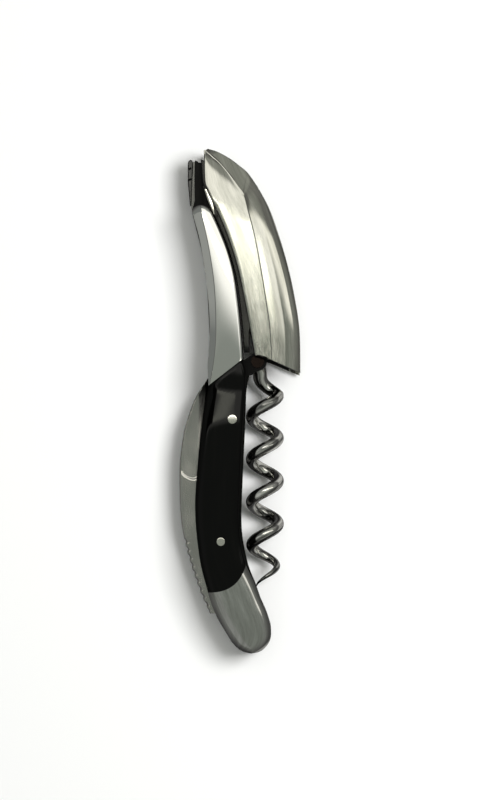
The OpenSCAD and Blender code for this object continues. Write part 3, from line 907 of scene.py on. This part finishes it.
def make_blade():
    """Blade with a filed spine. Its faces slope down to the edge from the tip to the plunge line, and
    are flat from there to the pivot."""
    where = np.linspace(0, 1, 420)
    spine, edge = curve(SPINE, where), curve(EDGE, where)
    width = np.linalg.norm(edge - spine, axis=1)[:, None]
    cut = file_work(spine[:, 1])[:, None]
    spine_cut = spine + (edge - spine) / width * (FILE_IN * cut)
    ts = np.concatenate([[0, 0.01, 0.03, 0.06, 0.09], np.linspace(0.12, 1, 34)])
    plan = spine_cut[:, None] + (edge - spine_cut)[:, None] * ts[None, :, None]
    d = ts[None, :] * width
    line = dense_curve(PLUNGE)
    above = plan[..., 1] - np.interp(plan[..., 0], line[:, 0], line[:, 1])
    flat_half, grind_step, plunge_start, plunge_run = 1.0, 0.03, 0.05, 0.55
    plunge = np.clip((above + plunge_start) / plunge_run, 0, 1) ** 2.5
    ground = flat_half - grind_step - (0.3 + 0.4 * smooth(-2, 20, above)) * d / width
    flat = flat_half - eased(d, reach=0.5, depth=0.2)
    half = flat * (1 - plunge) + np.minimum(ground, flat) * plunge
    half -= FILE_DOWN * (cut * (1 - smooth(0.0, FILE_REACH, d)))
    run = np.broadcast_to(np.linspace(0, 60, len(where))[:, None], half.shape)
    blade = between_sheets("foil_blade_steel", plan, half, -half, np.stack([run, d], axis=-1), sharp_deg=28)
    thick, tang_r, tang_break, hole = level("foil_blade"), 3.3, 0.2, 1.05
    side = [(0, thick), (tang_r - tang_break, thick), (tang_r, thick - tang_break)]
    tang = lathe("tang", side + [(r, -z) for r, z in side[::-1]], BLADE_PIVOT)
    combine(blade, tang, "UNION")
    combine(blade, bore(hole, BLADE_PIVOT), "DIFFERENCE")
    add_piece(blade, [M_BLADE], "blade", "blade_steel", "foil_blade")


make_blade()


# ---------------------------------------------------------------- CAD nodes that keep their shape

KEPT = {
    # The liners get the material painted near black as shade.
    M_LINER: ("front_liner", "rear_liner"),
    M_SPRING: ("lever_spring", "centre_spring"),
    # The lever tang gets the frame material, painted dark as shade.
    M_FRAME: ("lever_tang",),
    M_PIN: ("top_bolster_rivets", "end_bolster_rivets", "frame_rivets"),
    M_DARK_PIN: ("lever_pivot_pin", "worm_pivot_pin", "blade_pivot_pin"),
}
for material, names in KEPT.items():
    for name in names:
        paint(frame["nodes"][name], material)


# ---------------------------------------------------------------- stage, light and camera

# Dome colour against height (0 the horizon and all below it, 1 the zenith).
DOME = [(0.0, (0.06, 0.06, 0.06)), (0.3, (0.13, 0.13, 0.125)), (0.7, (0.24, 0.25, 0.23)),
        (1.0, (0.26, 0.28, 0.25))]
# The lit side of the table, low toward +X.
PALE_SIDE = (0.45, 0.45, 0.43)
# Cards, each over the last: span across (toward +X), span along (toward +Y), edge softness, colour.
CARDS = [
    ((-1.1, -0.30), (-1.2, 1.0), 0.10, (0.33, 0.34, 0.32)),        # pale wall to the left
    ((-1.4, -0.35), (0.095, 1.0), 0.03, (0.19, 0.20, 0.19)),       # its shaded upper part
    ((0.32, 1.05), (0.21, 0.8), 0.06, (1.35, 1.33, 1.22)),         # softbox to the right
    ((-0.42, 0.39), (0.0855, 0.6), 0.014, (1.24, 1.23, 1.15)),     # window at the top
    ((-0.15, 0.15), (0.108, 0.130), 0.004, (4.2, 4.2, 3.6)),       # its brightest pane
    ((-0.60, -0.155), (0.104, 0.20), 0.004, (0.01, 0.01, 0.01)),   # dark post to the left of it
    ((0.24, 1.6), (0.46, 1.6), 0.10, (0.32, 0.33, 0.30)),          # grey flag at the top right
    ((0.80, 1.6), (0.50, 1.4), 0.12, (0.17, 0.17, 0.16)),          # its darker corner
]


def make_floor():
    """Pale matt floor just under the object, left out of its reflections."""
    size, drop = 1.5, 0.00002
    mesh = bpy.data.meshes.new("floor")
    corners = [(x * size, y * size, -drop) for x, y in ((-1, -1), (1, -1), (1, 1), (-1, 1))]
    mesh.from_pydata(corners, [], [(0, 1, 2, 3)])
    floor = bpy.data.objects.new("floor", mesh)
    bpy.context.scene.collection.objects.link(floor)
    white = Shader("floor_white", grey(0.92), Specular_IOR_Level=0.1)
    paper = white.noise(white.place(scale=(0.4, 0.4, 0.4)))
    white.set(Roughness=white.ramp(paper, 0.3, 0.7, 0.65, 0.8))
    paint(floor, white.mat)
    floor.visible_glossy = False


def area_light(name, at, size, power):
    """A soft light aimed at the origin, left out of reflections."""
    light = bpy.data.lights.new(name, "AREA")
    light.shape = "RECTANGLE"
    light.size, light.size_y = size
    light.energy = power
    obj = bpy.data.objects.new(name, light)
    obj.location = at
    obj.rotation_euler = (-Vector(at)).to_track_quat("-Z", "Y").to_euler()
    obj.visible_glossy = False
    bpy.context.scene.collection.objects.link(obj)


class World(Nodes):
    """Surround by direction: a dome, a pale side low on the right, and cards. A card is a rectangle on
    the plane one unit above the object, with soft edges, and lies over those before it."""

    def __init__(self):
        world = bpy.data.worlds.new("studio")
        bpy.context.scene.world = world
        world.use_nodes = True
        super().__init__(world.node_tree)
        place = self.node("ShaderNodeTexCoord").outputs["Generated"]
        x, y, self.z = self.node("ShaderNodeSeparateXYZ", Vector=place).outputs
        above = self.math("MAXIMUM", self.z, 0.001)
        self.u, self.v = self.math("DIVIDE", x, above), self.math("DIVIDE", y, above)
        ramp = self.node("ShaderNodeValToRGB")
        self.plug(ramp.inputs[0], self.z)
        stops = ramp.color_ramp.elements
        for stop, (at, color) in zip(stops, (DOME[0], DOME[-1])):
            stop.position, stop.color = at, (*color, 1)
        for at, color in DOME[1:-1]:
            stops.new(at).color = (*color, 1)
        self.light = ramp.outputs[0]
        low = self.math("SUBTRACT", 1.0, self.edge(self.z, 0.0, 0.12))
        self.blend(self.math("MULTIPLY", low, self.edge(x, 0.3, 0.2)), PALE_SIDE)
        for span_u, span_v, soft, color in CARDS:
            self.card(span_u, span_v, soft, color)
        self.plug(self.tree.nodes["Background"].inputs["Color"], self.light)

    def blend(self, cover, color):
        self.light = self.mix(cover, self.light, color)

    def edge(self, value, at, soft):
        """Soft step from 0 below the place to 1 above it."""
        made = self.node("ShaderNodeMapRange", Value=value, From_Min=at - soft, From_Max=at + soft)
        made.interpolation_type = "SMOOTHSTEP"
        return made.outputs["Result"]

    def card(self, span_u, span_v, soft, color):
        cover = None
        for value, (first, last) in ((self.u, span_u), (self.v, span_v)):
            for side in (self.edge(value, first, soft),
                         self.math("SUBTRACT", 1.0, self.edge(value, last, soft))):
                cover = self.math("MULTIPLY", cover, side) if cover else side
        above_horizon = self.edge(self.z, 0.02, 0.01)
        self.blend(self.math("MULTIPLY", cover, above_horizon), color)


def make_camera():
    """Camera over the object, tilted a little."""
    away, view_tall, tilt = 0.75, 0.200, math.radians(3)
    data = bpy.data.cameras.new("camera")
    data.sensor_fit = "VERTICAL"
    data.angle = 2 * math.atan(view_tall / 2 / away)
    data.clip_start = 0.01
    camera = bpy.data.objects.new("camera", data)
    aim = Vector((0, 0.00025, MID_Z * MM))
    camera.location = aim + Vector((0, -math.sin(tilt), math.cos(tilt))) * away
    camera.rotation_euler = (tilt, 0, 0)
    bpy.context.scene.collection.objects.link(camera)
    bpy.context.scene.camera = camera


make_floor()
World()
area_light("key", at=(0.27, 0.07, 0.60), size=(0.22, 0.30), power=3.6)
area_light("fill", at=(-0.1, 0.0, 0.95), size=(1.2, 1.2), power=1.7)
make_camera()
bpy.context.scene.view_settings.view_transform = "Standard"
